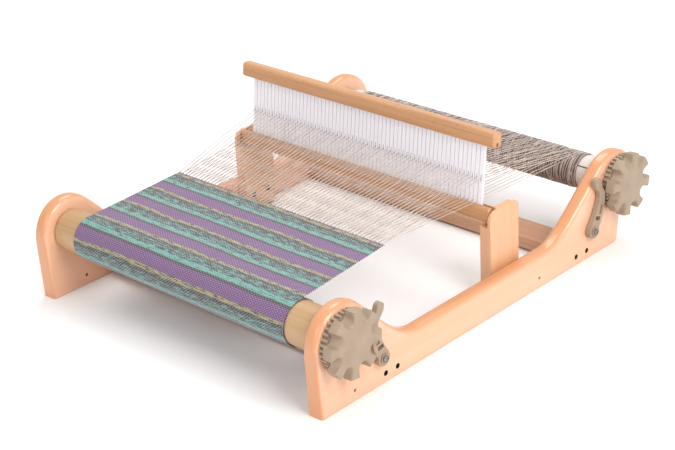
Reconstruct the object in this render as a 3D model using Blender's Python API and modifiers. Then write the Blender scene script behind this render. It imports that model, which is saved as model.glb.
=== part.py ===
"""Table-top rigid heddle loom, 400 mm weaving width, warped and part woven.

Axes: +X towards the knob side, +Y towards the back (warp) roller, +Z up.
Lengths are in metres.  Every object is a child of one empty, whose offset puts
the origin under the middle of the whole loom's box.  Inside that empty, x = 0
is midway between the side panels and z = 0 is the table.
"""
import math

import bmesh
import bpy
from mathutils import Matrix, Vector

# ---------------------------------------------------------------- dimensions
GAP = 0.0003                    # clearance between pieces that touch

WEAVING_WIDTH = 0.400
DENTS = 60                      # eyed bars in the reed
DENT_PITCH = WEAVING_WIDTH / DENTS

# side panels
PANEL_OUTER_X = 0.2478
PANEL_THICK = 0.0225
PANEL_INNER_X = PANEL_OUTER_X - PANEL_THICK
FRONT_FOOT_Y = -0.2878
BACK_FOOT_Y = 0.2875
WAIST_Z = 0.0450
WAIST_Y = (-0.1150, 0.1350)     # ends of the level run
ROUND_OVER = 0.0085
FRONT_AXIS = (-0.2489, 0.0875)  # y, z of the cloth roller
BACK_AXIS = (0.2864, 0.0875)    # y, z of the warp roller
FRONT_ARCH = (-0.2462, 0.0855)  # centre of the front arch
BACK_ARCH = (0.2800, 0.0800)
FRONT_ARCH_R = 0.0450
BACK_ARCH_R = 0.0505
HEEL = (0.2925, 0.0380)         # where the back edge turns down to the foot
STAND_HOLE_R = 0.0021
STAND_HOLES = ((-0.2324, 0.0140), (0.1158, 0.0140))

# cross rails and their screws
RAIL_DEPTH = 0.046
RAIL_HEIGHT = 0.017
RAIL_Z = 0.012                  # centre height
RAIL_Y = {"front": -0.1689, "back": 0.2110}
RAIL_SCREW_Y = {"front": (-0.1793, -0.1585), "back": (0.1951, 0.2185)}
SCREW_HEAD_R = 0.0031
SCREW_HEAD_H = 0.0030
SCREW_SHANK_R = 0.0020
SCREW_RECESS = 0.0030
SCREW_REACH = 0.050

# rollers
FRONT_ROLLER_R = 0.0272
BACK_ROLLER_R = 0.0195
ROLLER_END_GAP = 0.0013
JOURNAL_R = 0.0125
BORE_R = 0.0128
ROUND_STEPS = 36
BORE_STEPS = 24

# ratchets and knobs, outside the right panel
TEETH = 36
RATCHET_TIP_R = 0.0380
RATCHET_ROOT_R = 0.0345
RATCHET_X = (PANEL_OUTER_X + 0.0005, PANEL_OUTER_X + 0.0087)
KNOB_X = (PANEL_OUTER_X + 0.0090, PANEL_OUTER_X + 0.0230)
KNOB_R = 0.0421
KNOB_LOBES = 8
KNOB_SCOOP_R = 0.0070           # round bottom of each scoop
KNOB_SCOOP_OPEN = 0.0088        # half width of a scoop at the rim
KNOB_SCOOP_DEPTH = (0.0335, 0.0255)  # radius reached at the back and at the face
KNOB_FACE = 0.0057
KNOB_TURN = {"front": math.radians(-6), "back": math.radians(-12)}

# pawls
FRONT_PIVOT = (-0.1898, 0.0394)
BACK_PIVOT = (0.2243, 0.0397)
PAWL_X = (PANEL_OUTER_X + 0.0005, PANEL_OUTER_X + 0.0083)
PAWL_REACH = 0.0538             # pivot to nose
PAWL_NOSE_ANGLE = math.radians(21.6)
PAWL_NOSE_R = RATCHET_ROOT_R + 0.0007
PAWL_BOSS_R = 0.0102
PAWL_SCREW_R = 0.0022
PAWL_SCREW_HEAD = (0.0038, 0.0016)  # radius and height
PAWL_WASHER = (0.0062, 0.0010)  # radius and thickness

# bolts that hold the plain end of each roller
END_WASHER_R = 0.0160
END_WASHER_T = 0.0015
END_BOLT_HEAD_R = 0.0080
END_BOLT_HEAD_H = 0.0045
END_BOLT_SHANK_R = 0.0030
END_BOLT_REACH = 0.030

# heddle posts
POST_X = (0.2078, PANEL_INNER_X - GAP)
POST_CHEEK_X = 0.2201           # inner face of the thin cheek
POST_Y = (0.0463, 0.1035)
POST_Z = (0.0040, 0.1220)
POST_LEDGE_Z = 0.1020
POST_STOP_Y = 0.0704
POST_STOP_Z = 0.1180
POST_SCREWS = (0.0610, 0.0880)  # y of the two screws
POST_SCREW_Z = 0.0260
POST_SCREW_HEAD_R = 0.0038
POST_SCREW_SHANK_R = 0.0018

# heddle: two rails and a reed, leaning back on the ledges
HEDDLE_LEAN = math.radians(7.0)
HEDDLE_RAIL_LENGTH = 0.434
HEDDLE_RAIL_D = 0.016
HEDDLE_RAIL_H = 0.020
HEDDLE_RAIL_ROUND = 0.004
HEDDLE_RAIL_SPAN = 0.0971       # centre to centre
HEDDLE_BASE = (0.0606, 0.1136)  # y, z of the bottom rail's centre
REED_THICK = 0.0035
REED_SEAT = 0.0060
SLOT_WIDTH = 0.0010
SLOT_HEIGHT = 0.0735
EYE_WIDTH = 0.0016
EYE_HEIGHT = 0.0090
EYE_OFFSET = 0.0439             # eye centre above the bottom rail's centre
LOW_WARP_OFFSET = 0.0130        # where the lower threads pass the reed

# yarn and cloth, as plain solids
CLOTH_HALF = 0.184
CLOTH_HALF_FELL_RIGHT = 0.176
CLOTH_THICK = 0.0012
FELL = (-0.0937, 0.1220)        # y, z of the last pick
WARP_HALF = 0.1965
WARP_THICK = 0.0008
CLOTH_ROLL_R = (FRONT_ROLLER_R + GAP, FRONT_ROLLER_R + 0.0016)
WARP_INNER_R = (BACK_ROLLER_R + GAP, 0.0215)
CARD_R = (0.0218, 0.0224)
WARP_OUTER_R = (0.0227, 0.0238)
CARD_HALF = 0.2135
CARD_SLIT_ANGLE = math.radians(140.5)
STICK_SIZE = (0.400, 0.012, 0.0035)
STICK_SINK = 0.0030             # below the roller's surface
STICK_ANGLE = math.radians(250)  # about the roller, from +Y

# the loom's box, used only to centre the origin
BOX_X = (-PANEL_OUTER_X - 2 * GAP - END_WASHER_T - END_BOLT_HEAD_H, KNOB_X[1])
BOX_Y = (FRONT_ARCH[0] - FRONT_ARCH_R, BACK_ARCH[0] + BACK_ARCH_R)

# ------------------------------------------------------------------ scene
for old in list(bpy.data.objects):
    bpy.data.objects.remove(old, do_unlink=True)

PARTS = bpy.data.collections.new("loom")
CUTTERS = bpy.data.collections.new("cutters")
for group in (PARTS, CUTTERS):
    bpy.context.scene.collection.children.link(group)

FRAME = bpy.data.objects.new("loom_frame", None)
FRAME.location = (-sum(BOX_X) / 2, -sum(BOX_Y) / 2, 0)
PARTS.objects.link(FRAME)


def material(name, colour, roughness, metallic=0.0):
    """A Principled material of one colour."""
    made = bpy.data.materials.new(name)
    made.use_nodes = True
    shader = made.node_tree.nodes["Principled BSDF"]
    shader.inputs["Base Color"].default_value = (*colour, 1)
    shader.inputs["Roughness"].default_value = roughness
    shader.inputs["Metallic"].default_value = metallic
    return made


BEECH = material("lacquered_beech", (0.80, 0.52, 0.32), 0.35)
PALE_WOOD = material("roller_wood", (0.58, 0.38, 0.20), 0.50)
PLASTIC = material("taupe_plastic", (0.50, 0.42, 0.33), 0.45)
STEEL = material("zinc_steel", (0.60, 0.60, 0.58), 0.35, 1.0)
WHITE_PLASTIC = material("reed_plastic", (0.88, 0.87, 0.88), 0.40)
CLOTH = material("striped_cloth", (0.30, 0.22, 0.38), 0.90)
YARN = material("warp_yarn", (0.48, 0.40, 0.36), 0.90)
CARD = material("pale_card", (0.66, 0.64, 0.62), 0.80)


# ------------------------------------------------------------------ helpers
def adopt(obj, collection, mat=None):
    """Put an object in a collection, under the frame."""
    collection.objects.link(obj)
    obj.parent = FRAME
    if mat:
        obj.data.materials.append(mat)
    if collection is CUTTERS:
        obj.hide_render = True
        obj.display_type = "WIRE"
    return obj


def box(name, size, centre, mat=None, collection=PARTS):
    """A box of the given size."""
    mesh = bpy.data.meshes.new(name)
    bm = bmesh.new()
    bmesh.ops.create_cube(bm, size=1.0, matrix=Matrix.Diagonal((*size, 1)))
    bm.to_mesh(mesh)
    bm.free()
    obj = bpy.data.objects.new(name, mesh)
    obj.location = centre
    return adopt(obj, collection, mat)


def rod_cutter(name, radius, x_range, y, z, steps=16):
    """A cylinder along X that cuts a hole."""
    mesh = bpy.data.meshes.new(name)
    bm = bmesh.new()
    turn = Matrix.Rotation(math.pi / 2, 4, "Y")
    bmesh.ops.create_cone(bm, cap_ends=True, segments=steps, radius1=radius, radius2=radius,
                          depth=abs(x_range[1] - x_range[0]), matrix=turn)
    bm.to_mesh(mesh)
    bm.free()
    obj = bpy.data.objects.new(name, mesh)
    obj.location = (sum(x_range) / 2, y, z)
    return adopt(obj, CUTTERS)


def cut(obj, *cutters):
    """Subtract each cutter from an object."""
    for cutter in cutters:
        modifier = obj.modifiers.new(cutter.name, "BOOLEAN")
        modifier.operation = "DIFFERENCE"
        modifier.object = cutter
    return obj


def arc(centre, radius, start, end, count):
    """Points on an arc, angles in degrees."""
    points = []
    for i in range(count + 1):
        angle = math.radians(start + (end - start) * i / count)
        points.append((centre[0] + radius * math.cos(angle), centre[1] + radius * math.sin(angle)))
    return points


def bezier(p0, p1, p2, p3, count):
    """Points inside a cubic Bezier curve, without its two ends."""
    points = []
    for i in range(1, count):
        t = i / count
        weights = ((1 - t) ** 3, 3 * t * (1 - t) ** 2, 3 * t * t * (1 - t), t ** 3)
        points.append(tuple(sum(w * p[k] for w, p in zip(weights, (p0, p1, p2, p3))) for k in (0, 1)))
    return points


def smooth_path(points, count):
    """A Catmull-Rom curve through the points, count steps between each pair."""
    path = []
    for i in range(len(points) - 1):
        a = Vector(points[max(i - 1, 0)])
        b, c = Vector(points[i]), Vector(points[i + 1])
        d = Vector(points[min(i + 2, len(points) - 1)])
        for k in range(count):
            t = k / count
            spot = (2 * b + (c - a) * t + (2 * a - 5 * b + 4 * c - d) * t * t
                    + (3 * b - a - 3 * c + d) * t ** 3) / 2
            path.append(tuple(spot))
    path.append(tuple(points[-1]))
    return path


def plate(name, outline, x_range, mat, centre=(0.0, 0.0), collection=PARTS):
    """A flat piece: a (y, z) outline about centre, extruded over x_range."""
    curve = bpy.data.curves.new(name, "CURVE")
    curve.dimensions = "2D"
    curve.fill_mode = "BOTH"
    curve.extrude = (x_range[1] - x_range[0]) / 2
    spline = curve.splines.new("POLY")
    spline.points.add(len(outline) - 1)
    for point, (y, z) in zip(spline.points, outline):
        point.co = (y, z, 0, 1)
    spline.use_cyclic_u = True
    drawn = bpy.data.objects.new(name + "_outline", curve)
    bpy.context.scene.collection.objects.link(drawn)
    bpy.context.view_layer.update()
    evaluated = drawn.evaluated_get(bpy.context.evaluated_depsgraph_get())
    mesh = bpy.data.meshes.new_from_object(evaluated)
    bpy.data.objects.remove(drawn, do_unlink=True)
    mesh.name = name
    bm = bmesh.new()
    bm.from_mesh(mesh)
    bmesh.ops.remove_doubles(bm, verts=bm.verts, dist=1e-6)
    bmesh.ops.dissolve_limit(bm, angle_limit=math.radians(0.2), verts=[], edges=bm.edges)
    bmesh.ops.recalc_face_normals(bm, faces=bm.faces)
    bm.to_mesh(mesh)
    bm.free()
    # local x, y, z of the curve become y, z, x of the loom
    mesh.transform(Matrix(((0, 0, 1, 0), (1, 0, 0, 0), (0, 1, 0, 0), (0, 0, 0, 1))))
    mesh.materials.clear()
    obj = bpy.data.objects.new(name, mesh)
    obj.location = (sum(x_range) / 2, centre[0], centre[1])
    return adopt(obj, collection, mat)


def bevel_rim(obj, width, segments, weight=lambda y, z: 1.0):
    """Round the rim of a plate, by a weight at each rim edge's middle."""
    mesh = obj.data
    bm = bmesh.new()
    bm.from_mesh(mesh)
    layer = bm.edges.layers.float.new("bevel_weight_edge")
    for edge in bm.edges:
        flat = [abs(face.normal.x) > 0.9 for face in edge.link_faces]
        if flat.count(True) == 1:
            middle = (edge.verts[0].co + edge.verts[1].co) / 2
            edge[layer] = weight(middle.y, middle.z)
    bm.to_mesh(mesh)
    bm.free()
    modifier = obj.modifiers.new("round_over", "BEVEL")
    modifier.width = width
    modifier.segments = segments
    modifier.limit_method = "WEIGHT"
    modifier.use_clamp_overlap = False


def turned(name, profile, centre, mat, steps=ROUND_STEPS, ring=False, towards=1):
    """A turned piece about X.

    profile holds (radius, x) pairs, highest x first; towards=-1 mirrors it to -X.
    """
    mesh = bpy.data.meshes.new(name)
    edges = [(i, i + 1) for i in range(len(profile) - 1)]
    if ring:
        edges.append((len(profile) - 1, 0))
    mesh.from_pydata([(radius, 0, x) for radius, x in profile], edges, [])
    obj = bpy.data.objects.new(name, mesh)
    modifier = obj.modifiers.new("turn", "SCREW")
    modifier.axis = "Z"
    modifier.steps = steps
    modifier.render_steps = steps
    modifier.use_merge_vertices = True
    modifier.merge_threshold = 0.00001
    modifier.use_smooth_shade = False
    obj.rotation_euler = (0, towards * math.pi / 2, 0)
    obj.location = centre
    return adopt(obj, PARTS, mat)


# -------------------------------------------------------------- side panels
def panel_outline():
    """The (y, z) outline of a side panel: two arches over a low waist."""
    low_front, low_back = (WAIST_Y[0], WAIST_Z), (WAIST_Y[1], WAIST_Z)
    corner_r = 0.006
    front = arc(FRONT_ARCH, FRONT_ARCH_R, 178, 50, 11)
    back = arc(BACK_ARCH, BACK_ARCH_R, 130, -45, 15)
    front_slope = bezier(front[-1], (-0.1860, 0.0930), (-0.1560, WAIST_Z), low_front, 8)
    back_slope = bezier(low_back, (0.1640, WAIST_Z), (0.2054, 0.0833), back[0], 8)
    foot_corner = arc((BACK_FOOT_Y - corner_r, corner_r), corner_r, 0, -90, 4)
    return ([(FRONT_FOOT_Y, 0.0)] + front + front_slope + [low_front, low_back]
            + back_slope + back + [HEEL] + foot_corner)


def rim_weight(y, z):
    """Full round-over on the top, easing out down the ends, sharp below."""
    if z < 0.002:
        return 0.06
    if y > BACK_FOOT_Y - 0.007 and z < HEEL[1] - 0.002:
        return 0.12
    if y < FRONT_FOOT_Y + 0.005:
        sharp, full = 0.030, 0.075
        return 0.12 + 0.88 * min(1.0, max(0.0, z - sharp) / (full - sharp))
    return 1.0


def side_panel(side):
    """One side panel; side is +1 for the knob side, -1 for the plain side."""
    name = "side_panel_right" if side > 0 else "side_panel_left"
    x_range = sorted((side * PANEL_INNER_X, side * PANEL_OUTER_X))
    obj = plate(name, panel_outline(), x_range, BEECH)
    bevel_rim(obj, ROUND_OVER, 2, rim_weight)
    through = (x_range[0] - 0.005, x_range[1] + 0.005)
    recess = (side * (PANEL_OUTER_X - SCREW_RECESS - SCREW_HEAD_H - GAP), side * (PANEL_OUTER_X + 0.005))
    for label, axis in (("front", FRONT_AXIS), ("back", BACK_AXIS)):
        cut(obj, rod_cutter(f"{name}_{label}_bore", BORE_R, through, *axis, steps=BORE_STEPS))
    for label in ("front", "back"):
        for k in (0, 1):
            at = (RAIL_SCREW_Y[label][k], RAIL_Z)
            tag = f"{name}_{label}_{k}"
            cut(obj, rod_cutter(tag + "_shank", SCREW_SHANK_R + GAP, through, *at, steps=12))
            cut(obj, rod_cutter(tag + "_head", SCREW_HEAD_R + GAP, recess, *at, steps=12))
    for i, spot in enumerate(STAND_HOLES):
        cut(obj, rod_cutter(f"{name}_stand_{i}", STAND_HOLE_R, through, *spot, steps=8))
    pilot = (side * (PANEL_INNER_X - 0.005), side * (PANEL_OUTER_X - 0.0065))
    for i, y in enumerate(POST_SCREWS):
        at = (y, POST_SCREW_Z)
        cut(obj, rod_cutter(f"{name}_post_{i}", POST_SCREW_SHANK_R + GAP, pilot, *at, steps=12))
    if side > 0:
        pilot = (PANEL_OUTER_X - 0.0165, PANEL_OUTER_X + 0.005)
        for label, at in (("front", FRONT_PIVOT), ("back", BACK_PIVOT)):
            cut(obj, rod_cutter(f"{name}_{label}_pivot", PAWL_SCREW_R + GAP, pilot, *at, steps=12))
    return obj


# -------------------------------------------------------------- cross rails
def cross_rail(label):
    """A flat board between the panels, drilled in its ends for two screws."""
    half = PANEL_INNER_X - GAP
    obj = box(f"{label}_cross_rail", (2 * half, RAIL_DEPTH, RAIL_HEIGHT), (0, RAIL_Y[label], RAIL_Z), BEECH)
    modifier = obj.modifiers.new("soft_edges", "BEVEL")
    modifier.width = 0.0015
    modifier.segments = 2
    for side in (-1, 1):
        for k in (0, 1):
            reach = (side * (half - 0.031), side * (half + 0.005))
            tag = f"{label}_rail_pilot_{side}_{k}"
            at = (RAIL_SCREW_Y[label][k], RAIL_Z)
            cut(obj, rod_cutter(tag, SCREW_SHANK_R + GAP, reach, *at, steps=12))


def screw(name, head_x, side, y, z, head_r, head_h, shank_r, reach):
    """A pan-head screw along X whose head faces side."""
    profile = [(0.0, 0.0), (head_r * 0.80, 0.0), (head_r, -head_h * 0.45), (head_r, -head_h),
               (shank_r, -head_h), (shank_r, -reach + shank_r), (0.0, -reach)]
    return turned(name, profile, (head_x, y, z), STEEL, steps=12, towards=side)


def rail_screws():
    """Two screws through each panel into each cross rail."""
    for label in ("front", "back"):
        for side, word in ((-1, "left"), (1, "right")):
            for k in (0, 1):
                screw(f"{label}_rail_screw_{word}_{k + 1}", side * (PANEL_OUTER_X - SCREW_RECESS),
                      side, RAIL_SCREW_Y[label][k], RAIL_Z, SCREW_HEAD_R, SCREW_HEAD_H,
                      SCREW_SHANK_R, SCREW_REACH)


# ------------------------------------------------------------------ rollers
def roller(label, axis, radius):
    """A wooden roller with a journal at each end and a groove for its stick."""
    body = PANEL_INNER_X - ROLLER_END_GAP
    drive_end = KNOB_X[1] - KNOB_FACE - GAP
    plain_end = -(PANEL_OUTER_X - GAP)
    chamfer = 0.0020
    profile = [(0.0, drive_end), (JOURNAL_R, drive_end), (JOURNAL_R, body),
               (radius - chamfer, body), (radius, body - chamfer),
               (radius, chamfer - body), (radius - chamfer, -body),
               (JOURNAL_R, -body), (JOURNAL_R, plain_end), (0.0, plain_end)]
    obj = turned(f"{label}_roller", profile, (0, *axis), PALE_WOOD)
    _, width, depth = STICK_SIZE
    cutter_h = 0.020
    groove_r = radius - STICK_SINK - depth - GAP + cutter_h / 2
    groove_at = (axis[0] + groove_r * math.cos(STICK_ANGLE), axis[1] + groove_r * math.sin(STICK_ANGLE))
    groove = box(f"{label}_stick_groove", (2 * PANEL_INNER_X, width + 0.001, cutter_h),
                 (0, *groove_at), None, CUTTERS)
    groove.rotation_euler = (STICK_ANGLE - math.pi / 2, 0, 0)
    hole = rod_cutter(f"{label}_bolt_hole", END_BOLT_SHANK_R + GAP,
                      (plain_end - 0.005, plain_end + END_BOLT_REACH), *axis, steps=12)
    cut(obj, groove, hole)
    stick_r = radius - STICK_SINK - depth / 2
    stick_at = (axis[0] + stick_r * math.cos(STICK_ANGLE), axis[1] + stick_r * math.sin(STICK_ANGLE))
    stick = box(f"{label}_warp_stick", STICK_SIZE, (0, *stick_at), BEECH)
    stick.rotation_euler = groove.rotation_euler
    modifier = stick.modifiers.new("soft_edges", "BEVEL")
    modifier.width = 0.0008
    modifier.segments = 1
    return obj


def roller_end(label, axis):
    """The washer and bolt on the plain end of a roller."""
    face = -(PANEL_OUTER_X + GAP)
    washer = [(END_BOLT_SHANK_R + GAP, 0.0), (END_WASHER_R, 0.0),
              (END_WASHER_R, -END_WASHER_T), (END_BOLT_SHANK_R + GAP, -END_WASHER_T)]
    turned(f"{label}_roller_washer", washer, (face - END_WASHER_T, *axis), STEEL, 24, True, -1)
    head = face - END_WASHER_T - GAP - END_BOLT_HEAD_H
    screw(f"{label}_roller_bolt", head, -1, *axis, END_BOLT_HEAD_R, END_BOLT_HEAD_H,
          END_BOLT_SHANK_R, END_BOLT_HEAD_H + END_WASHER_T + END_BOLT_REACH - 0.003)


def ratchet(label, axis, gap_angle):
    """A toothed wheel on the journal; a tooth space is centred on gap_angle."""
    pitch = 2 * math.pi / TEETH
    outline = []
    for tooth in range(TEETH):
        base = gap_angle + tooth * pitch
        for offset, radius in ((0.16, RATCHET_ROOT_R), (0.30, RATCHET_TIP_R),
                               (0.70, RATCHET_TIP_R), (0.84, RATCHET_ROOT_R)):
            angle = base + offset * pitch
            outline.append((radius * math.cos(angle), radius * math.sin(angle)))
    obj = plate(f"{label}_ratchet", outline, RATCHET_X, PLASTIC, axis)
    bore = (RATCHET_X[0] - 0.005, RATCHET_X[1] + 0.005)
    return cut(obj, rod_cutter(f"{label}_ratchet_bore", BORE_R, bore, *axis, steps=BORE_STEPS))


def scoop(name, axis, angle):
    """A round-bottomed cutter that leaves a gap between two lobes, sloping in towards the face."""
    back_r, face_r = KNOB_SCOOP_DEPTH
    rim = KNOB_R + 0.004
    middle_r = (back_r + face_r) / 2
    outline = [(rim - middle_r, -KNOB_SCOOP_OPEN)]
    outline += arc((KNOB_SCOOP_R, 0), KNOB_SCOOP_R, 260, 100, 8)
    outline += [(rim - middle_r, KNOB_SCOOP_OPEN)]
    span = (KNOB_X[0] - 0.002, KNOB_X[1] + 0.002)
    slope = (face_r - back_r) / (KNOB_X[1] - KNOB_X[0])
    turn_c, turn_s = math.cos(angle), math.sin(angle)
    obj = plate(name, outline, span, None, axis, CUTTERS)
    for vertex in obj.data.vertices:
        out, side = vertex.co.y + middle_r + vertex.co.x * slope, vertex.co.z
        vertex.co.y = out * turn_c - side * turn_s
        vertex.co.z = out * turn_s + side * turn_c
    return obj


def knob(label, axis):
    """A knob with eight flat-faced lobes and a blind bore for the journal."""
    chamfer = 0.0012
    profile = [(0.0, KNOB_X[1]), (KNOB_R - 2 * chamfer, KNOB_X[1]), (KNOB_R, KNOB_X[1] - chamfer),
               (KNOB_R, KNOB_X[0]), (0.0, KNOB_X[0])]
    obj = turned(f"{label}_knob", profile, (0, *axis), PLASTIC, steps=96)
    step = 2 * math.pi / KNOB_LOBES
    for lobe in range(KNOB_LOBES):
        cut(obj, scoop(f"{label}_scoop_{lobe}", axis, KNOB_TURN[label] + (lobe + 0.5) * step))
    bore = (KNOB_X[0] - 0.005, KNOB_X[1] - KNOB_FACE)
    return cut(obj, rod_cutter(f"{label}_knob_bore", BORE_R, bore, *axis, steps=BORE_STEPS))


# -------------------------------------------------------------------- pawls
def pawl_pose(pivot, axis):
    """How a pawl meets its ratchet.

    Returns the mirror sign, the lean towards the ratchet, the nose's direction
    in the pawl's own (u, v) frame, and the nose's angle about the roller.
    """
    side = 1 if axis[0] > pivot[0] else -1
    across, rise = abs(axis[0] - pivot[0]), axis[1] - pivot[1]
    apart = math.hypot(across, rise)
    swing = math.acos((apart ** 2 + PAWL_REACH ** 2 - PAWL_NOSE_R ** 2) / (2 * apart * PAWL_REACH))
    lean = math.atan2(across, rise) - swing - PAWL_NOSE_ANGLE
    nose = (PAWL_REACH * math.sin(lean + PAWL_NOSE_ANGLE), PAWL_REACH * math.cos(lean + PAWL_NOSE_ANGLE))
    aim = math.atan2(rise - nose[1], across - nose[0]) + lean
    gap_angle = math.atan2(nose[1] - rise, (nose[0] - across) * side)
    return side, lean, aim, gap_angle


def pawl(label, pivot, axis):
    """A curved plastic lever: round boss, arm with a window, nose and thumb tab."""
    side, lean, aim, _ = pawl_pose(pivot, axis)
    tip = Vector((PAWL_REACH * math.sin(PAWL_NOSE_ANGLE), PAWL_REACH * math.cos(PAWL_NOSE_ANGLE)))
    along = Vector((math.cos(aim), math.sin(aim)))
    across = Vector((-along.y, along.x))
    nose = [tip - along * 0.0050 - across * 0.0017, tip - along * 0.0032 - across * 0.0011,
            tip - across * 0.0004, tip + across * 0.0004,
            tip - along * 0.0032 + across * 0.0011, tip - along * 0.0050 + across * 0.0017]
    inner = [(0.0108, 0.0070), (0.0141, 0.0150), (0.0163, 0.0260), (0.0166, 0.0340), (0.0166, 0.0420)]
    outer = [(0.0140, 0.0525), (0.0110, 0.0560), (0.0070, 0.0615), (0.0030, 0.0680)]
    tab = arc((-0.0031, 0.0672), 0.0060, 20, 165, 6)
    back = [(-0.0088, 0.0665), (-0.0072, 0.0618), (-0.0030, 0.0570), (0.0015, 0.0530),
            (0.0042, 0.0470), (0.0040, 0.0400), (0.0020, 0.0310), (-0.0020, 0.0190), (-0.0065, 0.0100)]
    boss = arc((0, 0), PAWL_BOSS_R, 160, 385, 12)
    outline = (smooth_path(inner, 2) + [tuple(p) for p in nose] + smooth_path(outer, 2)[:-1]
               + tab + smooth_path(back, 2)[1:] + boss)
    turn_c, turn_s = math.cos(lean), math.sin(lean)
    placed = [(side * (u * turn_c + v * turn_s), v * turn_c - u * turn_s) for u, v in outline]
    obj = plate(f"{label}_pawl", placed, PAWL_X, PLASTIC, pivot)
    bevel_rim(obj, 0.0006, 1)
    through = (PAWL_X[0] - 0.005, PAWL_X[1] + 0.005)
    bore_r = PAWL_SCREW_R + GAP
    cut(obj, rod_cutter(f"{label}_pawl_bore", bore_r, through, *pivot, steps=16))
    window_size = (through[1] - through[0], 0.0095, 0.0056)
    window = box(f"{label}_pawl_window", window_size, (0, 0, 0), None, CUTTERS)
    slot = box(f"{label}_pawl_slot", (0.0040, 0.0060, 0.0120), (0, 0, 0), None, CUTTERS)
    for cutter, x, (u, v) in ((window, sum(PAWL_X) / 2, (0.0040, 0.0172)),
                              (slot, PAWL_X[1], (0.0085, 0.0285))):
        y, z = side * (u * turn_c + v * turn_s), v * turn_c - u * turn_s
        cutter.location = (x, pivot[0] + y, pivot[1] + z)
        cutter.rotation_euler = (-side * lean - side * math.radians(8), 0, 0)
    cut(obj, window, slot)
    washer_x = PAWL_X[1] + GAP
    washer_r, washer_t = PAWL_WASHER
    ring = [(bore_r, washer_t), (washer_r, washer_t), (washer_r, 0.0), (bore_r, 0.0)]
    turned(f"{label}_pawl_washer", ring, (washer_x, *pivot), PLASTIC, 24, True)
    head_r, head_h = PAWL_SCREW_HEAD
    screw(f"{label}_pawl_screw", washer_x + washer_t + GAP + head_h, 1, *pivot,
          head_r, head_h, PAWL_SCREW_R, 0.0260)
    return obj


# ------------------------------------------------------------------- posts
def heddle_post(side):
    """A post with a ledge and a back stop for the heddle, and a thin outer cheek."""
    word = "right" if side > 0 else "left"
    y0, y1 = POST_Y
    z0, z1 = POST_Z
    outline = ([(y0, z0)] + arc((y0 + 0.013, z1 - 0.013), 0.013, 180, 90, 6)
               + arc((y1 - 0.006, z1 - 0.006), 0.006, 90, 0, 4) + [(y1, z0)])
    x_range = sorted((side * POST_X[0], side * POST_X[1]))
    obj = plate(f"heddle_post_{word}", outline, x_range, BEECH)
    bevel_rim(obj, 0.0010, 1)
    inner = POST_X[0] - 0.010
    middle = side * (inner + POST_CHEEK_X) / 2
    notch = box(f"post_notch_{word}", (POST_CHEEK_X - inner, 0.040, 0.040),
                (middle, POST_STOP_Y - 0.020, POST_LEDGE_Z + 0.020), None, CUTTERS)
    top = box(f"post_top_{word}", (POST_CHEEK_X - inner, 0.090, 0.020),
              (middle, POST_STOP_Y + 0.030, POST_STOP_Z + 0.010), None, CUTTERS)
    cut(obj, notch, top)
    for i, y in enumerate(POST_SCREWS):
        hole = (side * inner, side * (POST_X[1] + 0.005))
        head = (side * inner, side * (POST_X[0] + 0.0036))
        at = (y, POST_SCREW_Z)
        cut(obj, rod_cutter(f"post_hole_{word}_{i}", POST_SCREW_SHANK_R + GAP, hole, *at, steps=12),
            rod_cutter(f"post_head_{word}_{i}", POST_SCREW_HEAD_R + GAP, head, *at, steps=12))
        screw(f"post_screw_{word}_{i + 1}", side * (POST_X[0] + 0.0006), -side, y, POST_SCREW_Z,
              POST_SCREW_HEAD_R, 0.0026, POST_SCREW_SHANK_R, 0.0320)
    return obj


# ------------------------------------------------------------------- heddle
def heddle_point(across, along):
    """The (y, z) of a point in the leaning heddle, from the bottom rail's centre."""
    lean_c, lean_s = math.cos(HEDDLE_LEAN), math.sin(HEDDLE_LEAN)
    return (HEDDLE_BASE[0] + across * lean_c + along * lean_s,
            HEDDLE_BASE[1] + along * lean_c - across * lean_s)


def heddle_rail(label, along, groove_side):
    """A rounded rail with a groove that holds the reed's edge."""
    half_d, half_h, soft = HEDDLE_RAIL_D / 2, HEDDLE_RAIL_H / 2, HEDDLE_RAIL_ROUND
    outline = []
    for sy, sz, start in ((1, 1, 90), (1, -1, 0), (-1, -1, -90), (-1, 1, 180)):
        corner = (sy * (half_d - soft), sz * (half_h - soft))
        outline += arc(corner, soft, start, start - 90, 3)
    leaning = [(heddle_point(u, along + v)[0], heddle_point(u, along + v)[1]) for u, v in outline]
    centre = heddle_point(0, along)
    local = [(y - centre[0], z - centre[1]) for y, z in leaning]
    half = HEDDLE_RAIL_LENGTH / 2
    obj = plate(f"heddle_{label}_rail", local, (-half, half), BEECH, centre)
    bevel_rim(obj, 0.0015, 1)
    depth = REED_SEAT + GAP
    at = heddle_point(0, along + groove_side * (half_h - depth + 0.010))
    groove = box(f"heddle_{label}_groove", (HEDDLE_RAIL_LENGTH + 0.02, REED_THICK + 2 * GAP, 0.020),
                 (0, *at), None, CUTTERS)
    groove.rotation_euler = (-HEDDLE_LEAN, 0, 0)
    return cut(obj, groove)


def slot_cutter(name, count, size, along):
    """A row of boxes, one dent apart, centred on the reed."""
    mesh = bpy.data.meshes.new(name)
    bm = bmesh.new()
    for i in range(count):
        x = (i - (count - 1) / 2) * DENT_PITCH
        place = Matrix.Translation((x, 0, 0)) @ Matrix.Diagonal((*size, 1))
        bmesh.ops.create_cube(bm, size=1.0, matrix=place)
    bm.to_mesh(mesh)
    bm.free()
    obj = bpy.data.objects.new(name, mesh)
    obj.location = (0, *heddle_point(0, along))
    obj.rotation_euler = (-HEDDLE_LEAN, 0, 0)
    return adopt(obj, CUTTERS)


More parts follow.
